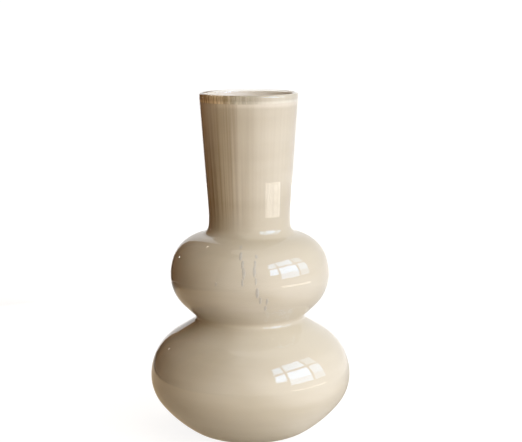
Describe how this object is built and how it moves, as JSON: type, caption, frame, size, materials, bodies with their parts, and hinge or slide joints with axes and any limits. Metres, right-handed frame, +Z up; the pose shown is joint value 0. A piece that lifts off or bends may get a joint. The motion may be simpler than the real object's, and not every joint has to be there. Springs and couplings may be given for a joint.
{
  "type": "double gourd vase",
  "caption": "Free-standing double gourd vase in cased beige glass: a flat lower bulb, a smaller upper bulb and a tall neck that opens to a clear rounded lip.",
  "frame": {"origin": "centre of the foot, on the plane that the vase stands on", "axes": "+Z up along the axis that the glass is turned about, from the foot to the mouth; the vessel looks the same from every side"},
  "size_m": [0.17, 0.17, 0.292],
  "materials": {
    "clear_glass": "clear, fire-polished",
    "beige_glass": "sand-beige opal, fused under the clear casing",
    "opal_glass": "pale milk-white opal, glossy inside"
  },
  "bodies": {
    "root": {"clear_casing": "clear_glass", "beige_layer": "beige_glass", "opal_lining": "opal_glass"}
  },
  "joints": []
}
